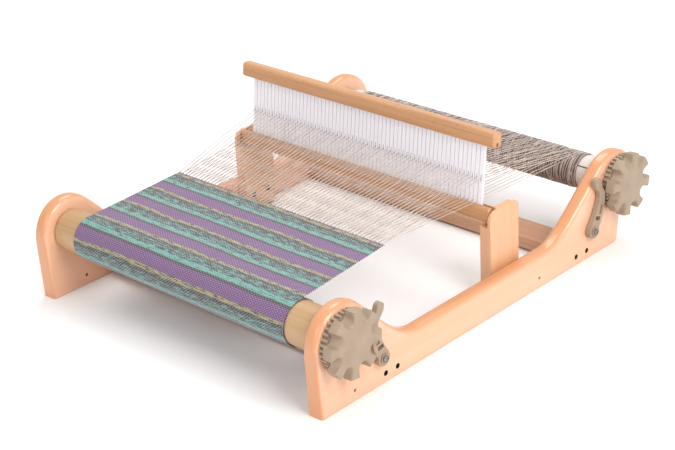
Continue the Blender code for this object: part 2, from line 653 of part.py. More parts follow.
def reed():
    """The plastic reed: a slot between each pair of bars and an eye in each bar."""
    height = HEDDLE_RAIL_SPAN - HEDDLE_RAIL_H + 2 * REED_SEAT
    centre = heddle_point(0, HEDDLE_RAIL_SPAN / 2)
    obj = box("reed", (WEAVING_WIDTH, REED_THICK, height), (0, *centre), WHITE_PLASTIC)
    obj.rotation_euler = (-HEDDLE_LEAN, 0, 0)
    slots = slot_cutter("reed_slots", DENTS - 1, (SLOT_WIDTH, 0.010, SLOT_HEIGHT), HEDDLE_RAIL_SPAN / 2)
    eyes = slot_cutter("reed_eyes", DENTS, (EYE_WIDTH, 0.010, EYE_HEIGHT), EYE_OFFSET)
    return cut(obj, slots, eyes)


# ----------------------------------------------------------- yarn and cloth
def sheet_solid(name, start, end, half_start, half_end, thick, mat):
    """A thin straight slab from start to end, both (y, z).

    half_start and half_end are (left, right) half widths at the two ends.
    """
    a, b = Vector(start), Vector(end)
    along = (b - a).normalized()
    normal = Vector((-along.y, along.x)) * thick / 2
    outline = [tuple(a + normal), tuple(b + normal), tuple(b - normal), tuple(a - normal)]
    widest = max(half_start + half_end)
    obj = plate(name, outline, (-widest, widest), mat)
    for vertex in obj.data.vertices:
        near_end = (Vector((vertex.co.y, vertex.co.z)) - b).length < thick
        halves = half_end if near_end else half_start
        vertex.co.x = -halves[0] if vertex.co.x < 0 else halves[1]
    return obj


def top_tangent(centre, radius, point):
    """Where the line from point touches the top of a circle."""
    towards = Vector(point) - Vector(centre)
    lift = math.acos(radius / towards.length)
    base = math.atan2(towards.y, towards.x)
    angle = base + lift if towards.x > 0 else base - lift
    return (centre[0] + radius * math.cos(angle), centre[1] + radius * math.sin(angle))


def wound(name, axis, radii, x_range, mat):
    """A wound package: a ring about a roller."""
    low, high = x_range
    profile = [(radii[0], high), (radii[1], high), (radii[1], low), (radii[0], low)]
    return turned(name, profile, (0, *axis), mat, ring=True)


def warp_and_cloth():
    """The wound and stretched cloth and warp."""
    wound("cloth_roll", FRONT_AXIS, CLOTH_ROLL_R, (-CLOTH_HALF, CLOTH_HALF), CLOTH)
    wound("warp_roll_inner", BACK_AXIS, WARP_INNER_R, (-WARP_HALF, WARP_HALF), YARN)
    wound("warp_roll_outer", BACK_AXIS, WARP_OUTER_R, (-WARP_HALF, WARP_HALF), YARN)
    card = wound("warp_card", BACK_AXIS, CARD_R, (-CARD_HALF, CARD_HALF), CARD)
    at_slit = arc(BACK_AXIS, sum(CARD_R) / 2, math.degrees(CARD_SLIT_ANGLE), 0, 1)[0]
    slit = box("card_slit", (2 * CARD_HALF + 0.02, 0.0060, 0.0016), (0, *at_slit), None, CUTTERS)
    slit.rotation_euler = (CARD_SLIT_ANGLE, 0, 0)
    cut(card, slit)

    touch = top_tangent(FRONT_AXIS, CLOTH_ROLL_R[1] + GAP + CLOTH_THICK / 2, FELL)
    sheet_solid("cloth_flat", touch, FELL, (CLOTH_HALF, CLOTH_HALF),
                (CLOTH_HALF, CLOTH_HALF_FELL_RIGHT), CLOTH_THICK, CLOTH)

    clear = REED_THICK / 2 + GAP
    fell_halves = (CLOTH_HALF, CLOTH_HALF_FELL_RIGHT)
    warp_halves = (WARP_HALF, WARP_HALF)
    for label, along, lift in (("upper", EYE_OFFSET, 1), ("lower", LOW_WARP_OFFSET, -1)):
        near_fell = (FELL[0] + 0.0012, FELL[1] + lift * 0.0007)
        sheet_solid(f"warp_front_{label}", near_fell, heddle_point(-clear, along),
                    fell_halves, warp_halves, WARP_THICK, YARN)
    roll_top = WARP_OUTER_R[1] + GAP + WARP_THICK / 2
    upper_start = heddle_point(clear, EYE_OFFSET)
    sheet_solid("warp_back_upper", upper_start, top_tangent(BACK_AXIS, roll_top, upper_start),
                warp_halves, warp_halves, WARP_THICK, YARN)
    lower_start = heddle_point(clear, LOW_WARP_OFFSET)
    lower_end = (BACK_AXIS[0] - 0.020, BACK_AXIS[1] + roll_top - 0.0005)
    sheet_solid("warp_back_lower", lower_start, lower_end, warp_halves, warp_halves, WARP_THICK, YARN)


# ----------------------------------------------------------------- assembly
for panel_side in (-1, 1):
    side_panel(panel_side)
    heddle_post(panel_side)
for rail_label in ("front", "back"):
    cross_rail(rail_label)
rail_screws()
for end_label, end_axis, end_pivot, end_roller_r in (("front", FRONT_AXIS, FRONT_PIVOT, FRONT_ROLLER_R),
                                                     ("back", BACK_AXIS, BACK_PIVOT, BACK_ROLLER_R)):
    roller(end_label, end_axis, end_roller_r)
    roller_end(end_label, end_axis)
    ratchet(end_label, end_axis, pawl_pose(end_pivot, end_axis)[3])
    knob(end_label, end_axis)
    pawl(end_label, end_pivot, end_axis)
heddle_rail("bottom", 0.0, 1)
heddle_rail("top", HEDDLE_RAIL_SPAN, -1)
reed()
warp_and_cloth()
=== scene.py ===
"""Looks for the table-top rigid heddle loom.

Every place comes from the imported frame.  Lengths are in metres in the row frame:
+X towards the knobs, +Y towards the warp roller, +Z up, and the table at z = 0.
"""
import math
import random

import bmesh
import bpy
from mathutils import Matrix, Vector


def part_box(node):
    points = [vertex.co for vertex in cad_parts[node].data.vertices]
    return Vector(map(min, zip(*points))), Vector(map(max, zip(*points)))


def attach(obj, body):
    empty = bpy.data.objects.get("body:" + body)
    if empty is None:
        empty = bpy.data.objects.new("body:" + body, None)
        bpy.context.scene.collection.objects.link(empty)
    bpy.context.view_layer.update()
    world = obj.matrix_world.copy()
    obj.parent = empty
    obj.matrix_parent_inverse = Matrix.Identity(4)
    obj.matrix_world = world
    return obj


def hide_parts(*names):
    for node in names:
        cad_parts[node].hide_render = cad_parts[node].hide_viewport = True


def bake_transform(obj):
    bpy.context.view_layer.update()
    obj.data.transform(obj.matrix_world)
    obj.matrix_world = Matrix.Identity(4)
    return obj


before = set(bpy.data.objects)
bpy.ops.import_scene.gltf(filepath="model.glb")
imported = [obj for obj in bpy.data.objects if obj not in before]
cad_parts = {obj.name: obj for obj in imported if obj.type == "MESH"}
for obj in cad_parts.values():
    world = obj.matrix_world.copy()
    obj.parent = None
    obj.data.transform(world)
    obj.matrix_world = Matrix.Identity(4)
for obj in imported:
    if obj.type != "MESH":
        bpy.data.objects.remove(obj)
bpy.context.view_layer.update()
random.seed(12)


# ------------------------------------------------------- places in the frame
def centre(node):
    """The middle of a CAD node's box."""
    low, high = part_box(node)
    return (low + high) / 2


def centre_yz(node):
    """The (y, z) of the middle of a CAD node's box."""
    middle = centre(node)
    return (middle.y, middle.z)


def x_range(node):
    """The x extent of a CAD node."""
    low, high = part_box(node)
    return (low.x, high.x)


def half_height(node):
    """Half the height of a CAD node, which is the radius of a round one."""
    low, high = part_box(node)
    return (high.z - low.z) / 2


AXIS = {"front": centre_yz("front_roller_washer"), "back": centre_yz("back_roller_washer")}
PIVOT = {"front": centre_yz("front_pawl_washer"), "back": centre_yz("back_pawl_washer")}
PANEL_X = {1: x_range("side_panel_right"), -1: x_range("side_panel_left")}
INNER = PANEL_X[1][0]
MID_X = (PANEL_X[1][0] + PANEL_X[-1][1]) / 2
HEDDLE = centre_yz("reed")
LEAN = math.radians(7.0)               # the heddle leans back on its stops
REED_X = x_range("reed")
DENTS = 60
DENT_PITCH = (REED_X[1] - REED_X[0]) / DENTS
RAIL_SPAN = 0.0971                      # between the heddle rails' centres
EYE_ALONG = -0.00465                    # the eyes, from the reed's middle
LOW_ALONG = -0.03555                    # where the threads in the slots lie
ROLLER_R = {"front": 0.0272, "back": 0.0195}
STICK_ANGLE = math.radians(250)         # of the stick and its groove, about the roller
GROOVE_SIZE = (0.013, 0.0068)           # width and depth of the groove for the stick
JOURNAL_R = 0.0125                      # the rollers' ends
BORE_R = 0.0128                         # what the journals turn in
RAIL_SCREW_HOLE = (0.0036, 0.0063, 0.0023)   # head radius, recess depth, shank radius
STAND_HOLES = (-0.0635, 0.2847)         # of the stand holes, from the front cross rail
THREAD_R = 0.00048
CUT = 0.005                             # how far a cutter reaches past a face
CLOTH_R = half_height("cloth_roll")
WARP_R = half_height("warp_roll_outer")
CARD_R = half_height("warp_card")
CLOTH_X = x_range("cloth_flat")
WARP_X = x_range("warp_roll_outer")
FELL = (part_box("cloth_flat")[1].y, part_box("cloth_flat")[1].z - 0.0006)
FELL_RIGHT = CLOTH_X[1] - 0.008         # the cloth draws in a little at the last pick


# ------------------------------------------------------------- shader helpers
def put(socket, value):
    """Link a node's output to a socket, or set the socket's own value."""
    if isinstance(value, bpy.types.NodeSocket):
        socket.id_data.links.new(value, socket)
    else:
        socket.default_value = value


def srgb(*colour):
    """A linear colour with alpha from 0-255 screen values."""
    linear = [((c / 255 + 0.055) / 1.055) ** 2.4 if c > 10 else c / 3295 for c in colour]
    return (*linear, 1.0)


class Surface:
    """A Principled material that is built up node by node."""

    def __init__(self, name, roughness, **settings):
        self.material = bpy.data.materials.new(name)
        self.material.use_nodes = True
        self.tree = self.material.node_tree
        self.shader = self.tree.nodes["Principled BSDF"]
        self.set("Roughness", roughness)
        for key, value in settings.items():
            self.set(key.replace("_", " "), value)

    def set(self, socket, value):
        put(self.shader.inputs[socket], value)

    def node(self, kind, inputs=(), **settings):
        """Add a node; inputs are (socket name or number, value) pairs."""
        made = self.tree.nodes.new("ShaderNode" + kind)
        for key, value in settings.items():
            setattr(made, key, value)
        for key, value in inputs:
            put(made.inputs[key], value)
        return made

    def place(self, scale):
        """Object coordinates, stretched by a scale along each axis."""
        coords = self.node("TexCoord").outputs["Object"]
        return self.scaled(coords, scale)

    def scaled(self, vector, scale):
        return self.node("VectorMath", [(0, vector), (1, scale)], operation="MULTIPLY").outputs[0]

    def noise(self, vector, detail=2.0, roughness=0.5, distortion=0.0):
        inputs = [("Vector", vector), ("Scale", 1.0), ("Detail", detail),
                  ("Roughness", roughness), ("Distortion", distortion)]
        return self.node("TexNoise", inputs).outputs["Fac"]

    def math(self, operation, a, b=0.0):
        return self.node("Math", [(0, a), (1, b)], operation=operation).outputs[0]

    def range(self, value, low, high, to_low=0.0, to_high=1.0):
        """Map a value from one range to another, clamped."""
        inputs = [("Value", value), ("From Min", low), ("From Max", high),
                  ("To Min", to_low), ("To Max", to_high)]
        return self.node("MapRange", inputs).outputs[0]

    def ramp(self, value, stops, interpolation="LINEAR"):
        made = self.node("ValToRGB", [("Fac", value)])
        made.color_ramp.interpolation = interpolation
        elements = made.color_ramp.elements
        while len(elements) < len(stops):
            elements.new(0.5)
        for element, (position, colour) in zip(elements, stops):
            element.position = position
            element.color = colour
        return made.outputs["Color"]

    def mix(self, factor, a, b):
        made = self.node("Mix", data_type="RGBA")
        put(made.inputs[0], factor)
        put(made.inputs[6], a)
        put(made.inputs[7], b)
        return made.outputs[2]

    def bump(self, height, distance, strength):
        made = self.node("Bump", [("Height", height), ("Distance", distance), ("Strength", strength)])
        self.set("Normal", made.outputs["Normal"])


# ------------------------------------------------------------------ materials
def wood(name, pale, deep, line, grain, roughness, coat, rim=None, lines=0.35):
    """Beech: soft bands, fine streaks and short flecks along the grain axis."""
    surface = Surface(name, roughness, Coat_Weight=coat, Coat_Roughness=0.12)
    along = {"X": (1, 0, 0), "Y": (0, 1, 0), "Z": (0, 0, 1)}[grain]

    def stretched(across, length):
        return surface.place([length if a else across for a in along])

    bands = surface.noise(stretched(28, 1.6), detail=3, distortion=0.6)
    streaks = surface.noise(stretched(330, 5), detail=4, roughness=0.65)
    flecks = surface.noise(stretched(900, 150), detail=1)
    colour = surface.mix(surface.range(bands, 0.30, 0.72), pale, deep)
    colour = surface.mix(surface.range(streaks, 0.50, 0.78, 0.0, lines), colour, line)
    colour = surface.mix(surface.range(flecks, 0.64, 0.76, 0.0, lines * 0.8), colour, line)
    # Rims, tops and ends (not facing ±X) take the deeper rim colour and the flat sides stay pale: partly
    # edge grain, partly painted shade on the rims and painted lamp sheen on the sides.
    if rim:
        facing = surface.node("SeparateXYZ", [(0, surface.node("TexCoord").outputs["Normal"])])
        flat = surface.math("ABSOLUTE", facing.outputs["X"])
        colour = surface.mix(surface.range(flat, 0.55, 0.97), rim, colour)
    surface.set("Base Color", colour)
    surface.bump(surface.math("ADD", streaks, flecks), 0.00006, 0.5)
    return surface.material


def plastic(name, colour, worn):
    """Moulded plastic with a fine spark texture and slightly paler worn patches."""
    surface = Surface(name, 0.42, Specular_IOR_Level=0.45)
    patches = surface.noise(surface.place((45, 45, 45)), detail=3)
    grain = surface.noise(surface.place((1700, 1700, 1700)), detail=2)
    surface.set("Base Color", surface.mix(surface.range(patches, 0.35, 0.7), colour, worn))
    surface.bump(grain, 0.00005, 0.35)
    return surface.material


def steel(name, colour, roughness):
    """Zinc-plated steel with faint patches."""
    surface = Surface(name, roughness, Metallic=1.0)
    patches = surface.noise(surface.place((260, 260, 260)), detail=3)
    dull = tuple(c * 0.72 for c in colour[:3]) + (1.0,)
    surface.set("Base Color", surface.mix(patches, colour, dull))
    return surface.material


def reed_plastic():
    """Milky white reed plastic."""
    surface = Surface("reed_white", 0.38, Specular_IOR_Level=0.4)
    streaks = surface.noise(surface.place((150, 150, 12)), detail=2)
    surface.set("Base Color", surface.mix(streaks, srgb(246, 243, 247), srgb(236, 232, 238)))
    return surface.material


def card_paper():
    """Pale card with a soft fibre mottle."""
    surface = Surface("card_paper", 0.75)
    fibre = surface.noise(surface.place((260, 900, 900)), detail=4)
    surface.set("Base Color", surface.mix(fibre, srgb(228, 220, 214), srgb(208, 200, 194)))
    surface.bump(fibre, 0.00005, 0.4)
    return surface.material


def yarn(name, light, dark):
    """Matt spun yarn: fine twist lines and slow tone changes."""
    surface = Surface(name, 0.85, Sheen_Weight=0.25)
    tone = surface.noise(surface.place((160, 28, 60)), detail=2)
    twist = surface.noise(surface.place((1500, 900, 1500)), detail=1)
    colour = surface.mix(surface.range(tone, 0.3, 0.7), light, dark)
    surface.set("Base Color", surface.mix(surface.range(twist, 0.45, 0.75, 0.0, 0.5), colour, dark))
    return surface.material


# The weft bands in one repeat, from the last pick back: length in metres, yarn, share of fleck.
PURPLE = srgb(116, 82, 128)
LIME = srgb(164, 158, 114)
CHARCOAL = srgb(72, 72, 74)
AQUA = srgb(108, 166, 155)
BANDS = ((0.0068, PURPLE, 0.14), (0.0050, LIME, 0.46), (0.0048, AQUA, 0.84),
         (0.0104, AQUA, 0.66), (0.0066, AQUA, 0.34), (0.0038, CHARCOAL, 0.20), (0.0092, PURPLE, 0.14))
FIRST_BAND = 0.0048                     # how much of the first band lies beyond the last pick
REPEAT = sum(length for length, _, _ in BANDS)
END_PITCH = 0.00234                     # between warp ends in the cloth
PICK_PITCH = 0.0018                     # between picks


def woven():
    """Striped plain weave, from the (x, length from the fell) attribute of the cloth."""
    surface = Surface("striped_weave", 0.88, Sheen_Weight=0.35, Sheen_Roughness=0.5)
    spot = surface.node("Attribute", attribute_name="weave", attribute_type="GEOMETRY").outputs["Vector"]
    wander = surface.noise(surface.scaled(spot, (9, 30, 0)), detail=1)
    parts = surface.node("SeparateXYZ", [(0, spot)])
    length = surface.math("ADD", parts.outputs["Y"], surface.range(wander, 0.3, 0.7, -0.0012, 0.0012))
    shifted = surface.math("ADD", length, FIRST_BAND)
    share = surface.math("FRACT", surface.math("DIVIDE", shifted, REPEAT))
    yarns, flecks, at = [], [], 0.0
    for band, colour, fleck in BANDS:
        yarns.append((at / REPEAT, colour))
        flecks.append((at / REPEAT, (fleck, fleck, fleck, 1)))
        at += band
    weft = surface.ramp(share, yarns, "CONSTANT")
    fleck = surface.ramp(share, flecks, "CONSTANT")
    # space-dyed weft: short dark and pale lengths along each pick
    dyed = surface.noise(surface.scaled(spot, (75, 560, 0)), detail=4, roughness=0.75)
    level = surface.math("SUBTRACT", dyed, surface.math("MULTIPLY", fleck, 0.28))
    dark = surface.range(level, 0.32, 0.36)
    weft = surface.mix(surface.math("SUBTRACT", 1.0, dark), weft, srgb(64, 63, 65))
    # the warp shows between the picks
    ends = surface.math("SINE", surface.math("MULTIPLY", parts.outputs["X"], math.pi / END_PITCH))
    picks = surface.math("SINE", surface.math("MULTIPLY", parts.outputs["Y"], math.pi / PICK_PITCH))
    over = surface.math("MULTIPLY", ends, picks)
    warp_shows = surface.range(over, 0.25, 0.75, 0.0, 0.46)
    colour = surface.mix(warp_shows, weft, srgb(190, 170, 176))
    # painted shade: the hollows between the crossings are darkened
    hollow_shade = surface.range(surface.math("ABSOLUTE", over), 0.0, 0.35, 0.34, 0.0)
    surface.set("Base Color", surface.mix(hollow_shade, colour, srgb(60, 50, 58)))
    fibre = surface.noise(surface.scaled(spot, (2600, 2600, 0)), detail=1)
    surface.bump(fibre, 0.00015, 0.5)
    return surface.material


# The panel's deeper rim colour: partly edge grain, partly painted shade set against the painted sheen of
# its flat sides.
PANEL_WOOD = wood("panel_lacquered_beech", srgb(238, 187, 155), srgb(231, 176, 140), srgb(205, 142, 100),
                  "Y", 0.30, 0.55, rim=srgb(216, 150, 104), lines=0.22)
POST_WOOD = wood("post_beech", srgb(226, 178, 139), srgb(218, 165, 122), srgb(188, 128, 84),
                 "Z", 0.36, 0.30, lines=0.50)
BOARD_WOOD = wood("board_beech", srgb(205, 159, 128), srgb(190, 142, 108), srgb(150, 102, 70),
                  "X", 0.42, 0.15, lines=0.60)
HEDDLE_WOOD = wood("heddle_beech", srgb(208, 156, 110), srgb(190, 136, 90), srgb(128, 82, 52),
                   "X", 0.40, 0.20, lines=0.60)
ROLLER_WOOD = wood("roller_beech", srgb(194, 158, 116), srgb(180, 142, 100), srgb(144, 106, 70),
                   "X", 0.38, 0.25, lines=0.40)
TAUPE = plastic("taupe_plastic", srgb(156, 135, 114), srgb(166, 146, 125))
ZINC = steel("zinc_screws", srgb(168, 164, 156), 0.34)
# darker steel for the rail screws and their sleeves: painted shade of the screw recesses
RECESS_SHADE_STEEL = steel("screws_painted_recess_shade", srgb(120, 108, 95), 0.45)
REED_WHITE = reed_plastic()
CARD = card_paper()
PALE_YARN = yarn("pale_warp_yarn", srgb(216, 202, 192), srgb(166, 148, 138))
ROLLED_YARN = yarn("rolled_warp_yarn", srgb(214, 198, 188), srgb(146, 130, 122))
# a darker copy of the warp yarn for the beds under the wound loops: painted shade
SHADED_YARN = yarn("warp_yarn_painted_shade", srgb(128, 112, 104), srgb(92, 78, 72))
STRIPED = woven()


# --------------------------------------------------------------- mesh helpers
def new_object(name, mesh):
    """A new object in the scene."""
    obj = bpy.data.objects.new(name, mesh)
    bpy.context.scene.collection.objects.link(obj)
    return obj


def from_faces(name, points, faces):
    """An object from points and faces, with its faces turned outwards."""
    mesh = bpy.data.meshes.new(name)
    mesh.from_pydata(points, [], faces)
    mesh.validate()
    bm = bmesh.new()
    bm.from_mesh(mesh)
    bmesh.ops.recalc_face_normals(bm, faces=bm.faces)
    bm.to_mesh(mesh)
    bm.free()
    return new_object(name, mesh)


def arc(middle, radius, start, end, count):
    """Points on an arc, angles in degrees."""
    angles = [math.radians(start + (end - start) * i / count) for i in range(count + 1)]
    return [(middle[0] + radius * math.cos(a), middle[1] + radius * math.sin(a)) for a in angles]


def bezier(p0, p1, p2, p3, count):
    """Points inside a cubic Bezier curve, without its two ends."""
    points = []
    for i in range(1, count):
        t = i / count
        weights = ((1 - t) ** 3, 3 * t * (1 - t) ** 2, 3 * t * t * (1 - t), t ** 3)
        points.append(tuple(sum(w * p[k] for w, p in zip(weights, (p0, p1, p2, p3))) for k in (0, 1)))
    return points


def smooth_path(points, count):
    """A Catmull-Rom curve through the points, count steps between each pair."""
    path = []
    for i in range(len(points) - 1):
        a = Vector(points[max(i - 1, 0)])
        b, c = Vector(points[i]), Vector(points[i + 1])
        d = Vector(points[min(i + 2, len(points) - 1)])
        for k in range(count):
            t = k / count
            spot = (2 * b + (c - a) * t + (2 * a - 5 * b + 4 * c - d) * t * t
                    + (3 * b - a - 3 * c + d) * t ** 3) / 2
            path.append(tuple(spot))
    path.append(tuple(points[-1]))
    return path


def loft(name, rings, closed=False):
    """A closed mesh through rings of (x, y, z) points of equal count."""
    count = len(rings[0])
    points = [p for ring in rings for p in ring]
    faces = []
    spans = len(rings) if closed else len(rings) - 1
    for r in range(spans):
        here, there = r * count, (r + 1) % len(rings) * count
        for i in range(count):
            j = (i + 1) % count
            faces.append((here + i, here + j, there + j, there + i))
    if not closed:
        faces.append(tuple(range(count)))
        faces.append(tuple(range((len(rings) - 1) * count, len(rings) * count)))
    return from_faces(name, points, faces)


def circle(x, axis, radius, steps):
    """A ring of points about the X direction."""
    turns = [2 * math.pi * i / steps for i in range(steps)]
    return [(x, axis[0] + radius * math.cos(a), axis[1] + radius * math.sin(a)) for a in turns]


def turned(name, axis, profile, steps=64, closed=False):
    """A piece turned about X, from (x, radius) pairs."""
    return loft(name, [circle(x, axis, radius, steps) for x, radius in profile], closed)


def plate(name, outline, span):
    """A flat piece: a (y, z) outline extruded over an x span."""
    return loft(name, [[(x, y, z) for y, z in outline] for x in span])


def block(name, size, place, tilt=0.0):
    """A cutter block, tilted about X."""
    bm = bmesh.new()
    bmesh.ops.create_cube(bm, size=1.0, matrix=Matrix.Translation(place) @ Matrix.Rotation(tilt, 4, "X")
                          @ Matrix.Diagonal((*size, 1)))
    mesh = bpy.data.meshes.new(name)
    bm.to_mesh(mesh)
    bm.free()
    return new_object(name, mesh)


def round_rim(obj, width, segments, weight=lambda y, z: 1.0):
    """Round the rim of a plate, by a weight at each rim edge's middle."""
    bm = bmesh.new()
    bm.from_mesh(obj.data)
    layer = bm.edges.layers.float.new("bevel_weight_edge")
    for edge in bm.edges:
        flat = [abs(face.normal.x) > 0.9 for face in edge.link_faces]
        if flat.count(True) == 1:
            middle = (edge.verts[0].co + edge.verts[1].co) / 2
            edge[layer] = weight(middle.y, middle.z)
    bm.to_mesh(obj.data)
    bm.free()
    modifier = obj.modifiers.new("round_over", "BEVEL")
    modifier.width = width
    modifier.segments = segments
    modifier.limit_method = "WEIGHT"
    modifier.use_clamp_overlap = False


def bake(obj, cutters=()):
    """Subtract the cutters, turn all modifiers into mesh, and remove the cutters."""
    for cutter in cutters:
        modifier = obj.modifiers.new(cutter.name, "BOOLEAN")
        modifier.object = cutter
    bpy.context.view_layer.update()
    evaluated = obj.evaluated_get(bpy.context.evaluated_depsgraph_get())
    mesh = bpy.data.meshes.new_from_object(evaluated)
    obj.modifiers.clear()
    obj.data = mesh
    for cutter in cutters:
        bpy.data.objects.remove(cutter, do_unlink=True)
    return obj


def shade(obj, angle=35.0):
    """Smooth shading that keeps flat faces flat and hard edges hard."""
    obj.data.shade_smooth()
    obj.data.set_sharp_from_angle(angle=math.radians(angle))
    modifier = obj.modifiers.new("flat_faces", "WEIGHTED_NORMAL")
    modifier.keep_sharp = True
    return obj


def piece(obj, look, body, slot, *nodes):
    """Give a finished mesh its material, body and the CAD nodes it stands for; slot is not used."""
    obj.data.materials.clear()
    obj.data.materials.append(look)
    if body:
        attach(obj, body)
    if nodes:
        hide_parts(*nodes)
    return obj


# ---------------------------------------------------------------- side panels
def panel_outline():
    """The (y, z) outline of a side panel: two arches over a low waist."""
    (fy, fz), (by, bz) = AXIS["front"], AXIS["back"]
    waist, corner_r = 0.0450, 0.0060
    front = arc((fy + 0.0027, fz - 0.0020), 0.0450, 178, 50, 44)
    back = arc((by - 0.0064, bz - 0.0075), 0.0505, 130, -45, 60)
    low_front, low_back = (fy + 0.1339, waist), (by - 0.1514, waist)
    front_slope = bezier(front[-1], (fy + 0.0629, fz + 0.0055), (fy + 0.0929, waist), low_front, 28)
    back_slope = bezier(low_back, (by - 0.1224, waist), (by - 0.0810, bz - 0.0042), back[0], 28)
    heel = (by + 0.0061, 0.0380)
    corner = arc((by + 0.0011 - corner_r, corner_r), corner_r, 0, -90, 10)
    return ([(fy - 0.0389, 0.0)] + front + front_slope + [low_front, low_back]
            + back_slope + back + [heel] + corner)


def rim_weight(y, z):
    """Full round-over on the top, easing out down the front end, sharp below."""
    if z < 0.002 or (y > AXIS["back"][0] - 0.0059 and z < 0.036):
        return 0.12
    if y < AXIS["front"][0] - 0.0339:
        return 0.12 + 0.88 * min(1.0, max(0.0, z - 0.030) / 0.045)
    return 1.0


def hole(name, place, radius, span, steps=32):
    """A cylinder along X that cuts a hole at (y, z)."""
    return turned(name, place, [(span[0], radius), (span[1], radius)], steps)


def side_panel(side, node):
    """One lacquered panel with its bores, screw recesses and stand holes."""
    low, high = PANEL_X[side]
    obj = plate(node + "_wood", panel_outline(), (low, high))
    round_rim(obj, 0.0085, 6, rim_weight)
    through = (low - CUT, high + CUT)
    outside = high if side > 0 else low
    head_r, head_deep, shank_r = RAIL_SCREW_HOLE
    recess = sorted((outside - side * head_deep, outside + side * CUT))
    cutters = [hole("bore", AXIS[end], BORE_R, through, 64) for end in ("front", "back")]
    word = "right" if side > 0 else "left"
    for end in ("front", "back"):
        for number in (1, 2):
            at = centre_yz(f"{end}_rail_screw_{word}_{number}")
            cutters.append(hole("head", at, head_r, recess))
            cutters.append(hole("shank", at, shank_r, through))
    rail_y = centre_yz("front_cross_rail")[0]
    for offset in STAND_HOLES:
        cutters.append(hole("stand", (rail_y + offset, 0.0140), 0.0021, through, 20))
    if side > 0:
        for end in ("front", "back"):
            cutters.append(hole("pivot", PIVOT[end], 0.0028, (high - 0.0165, high + CUT)))
    shade(bake(obj, cutters))
    return piece(obj, PANEL_WOOD, "frame", "panel_beech", node)


# -------------------------------------------------------------------- rollers
def roller(end, body):
    """A turned wooden roller with chamfered ends and a journal at each end."""
    left, right = x_range(f"{end}_roller")
    radius = ROLLER_R[end]
    low, high = PANEL_X[-1][1] + 0.0013, INNER - 0.0013
    chamfer = 0.0020
    profile = [(left, JOURNAL_R), (low, JOURNAL_R), (low, radius - chamfer),
               (low + chamfer * 0.3, radius - chamfer * 0.3), (low + chamfer, radius)]
    steps = 24
    profile += [(low + (high - low) * k / steps, radius) for k in range(1, steps)]
    profile += [(high - chamfer, radius), (high - chamfer * 0.3, radius - chamfer * 0.3),
                (high, radius - chamfer), (high, JOURNAL_R), (right, JOURNAL_R)]
    obj = turned(f"{end}_roller_wood", AXIS[end], profile, 96)
    wide, deep = GROOVE_SIZE
    tall = 0.020
    out = radius - deep + tall / 2
    groove_at = (sum(WARP_X) / 2, AXIS[end][0] + out * math.cos(STICK_ANGLE),
                 AXIS[end][1] + out * math.sin(STICK_ANGLE))
    size = (2 * (INNER - MID_X), wide, tall)
    groove = block("groove", size, groove_at, STICK_ANGLE - math.pi / 2)
    bolt = hole("bolt", AXIS[end], 0.0033, (left - CUT, left + 0.030))
    shade(bake(obj, [groove, bolt]), 28)
    return piece(obj, ROLLER_WOOD, body, "roller_wood", f"{end}_roller")


# ----------------------------------------------------------- knobs and pawls
KNOB_R = 0.0421
KNOB_LOBES = 8
KNOB_TURN = {"front": math.radians(-6), "back": math.radians(-12)}
SCOOP_R = 0.0070
SCOOP_OPEN = 0.0088                     # half the scoop's opening at the rim
SCOOP_FLOOR = 0.0335                    # from the axis to the scoop's floor at the back
SCOOP_DEEPER = 0.0080                   # how much closer the floor is at the face


def knob_ring(x, axis, turn, share, inset):
    """One ring of the lobed outline; share runs from 0 at the back to 1 at the face."""
    step = 2 * math.pi / KNOB_LOBES
    reach = SCOOP_FLOOR - SCOOP_DEEPER * share - inset
    scoop_r, opening, crown_r = SCOOP_R + inset, SCOOP_OPEN + inset, KNOB_R - inset
    half = step / 2 - math.asin(opening / crown_r)
    ring = []

    def add(out, side, angle):
        ring.append((x, axis[0] + out * math.cos(angle) - side * math.sin(angle),
                     axis[1] + out * math.sin(angle) + side * math.cos(angle)))

    for lobe in range(KNOB_LOBES):
        middle = turn + lobe * step
        for k in (-4, -3.8, -2, 0, 2, 3.8, 4):
            add(crown_r, 0.0, middle + half * k / 4)
        dip = middle + step / 2
        bottom = reach + scoop_r
        for k in range(13):
            angle = math.radians(-84 + 14 * k)
            add(bottom - scoop_r * math.cos(angle), scoop_r * math.sin(angle), dip)
    return ring


def knob(end, body):
    """An eight-lobed knob whose finger scoops deepen towards the face."""
    back, face = x_range(f"{end}_knob")
    depth = face - back
    # (distance from the back, inset) of each ring
    stations = ((0.0, 0.0009), (0.0008, 0.0002), (0.0018, 0.0), (depth * 0.5, 0.0),
                (depth - 0.0030, 0.0), (depth - 0.0014, 0.0003), (depth - 0.0005, 0.0009),
                (depth, 0.0020))
    turn = KNOB_TURN[end]
    rings = [knob_ring(back + x, AXIS[end], turn, x / depth, inset) for x, inset in stations]
    obj = loft(f"{end}_knob_plastic", rings)
    bore = hole("bore", AXIS[end], BORE_R, (back - CUT, face - 0.0057), 48)
    shade(bake(obj, [bore]), 40)
    return piece(obj, TAUPE, body, "taupe_plastic", f"{end}_knob")


PAWL_REACH = 0.0538                     # from the pivot to the nose
NOSE_ANGLE = math.radians(21.6)         # of the nose, from the arm's length
NOSE_MEETS = 0.0352                     # the nose's place in the ratchet, from its axis


def pawl_pose(end):
    """The mirror sign, the lean towards the ratchet and the nose's aim of a pawl."""
    (ay, az), (py, pz) = AXIS[end], PIVOT[end]
    side = 1 if ay > py else -1
    across, rise = abs(ay - py), az - pz
    apart = math.hypot(across, rise)
    shared = apart ** 2 + PAWL_REACH ** 2 - NOSE_MEETS ** 2
    swing = math.acos(shared / (2 * apart * PAWL_REACH))
    lean = math.atan2(across, rise) - swing - NOSE_ANGLE
    nose = Vector((math.sin(lean + NOSE_ANGLE), math.cos(lean + NOSE_ANGLE))) * PAWL_REACH
    return side, lean, math.atan2(rise - nose.y, across - nose.x) + lean


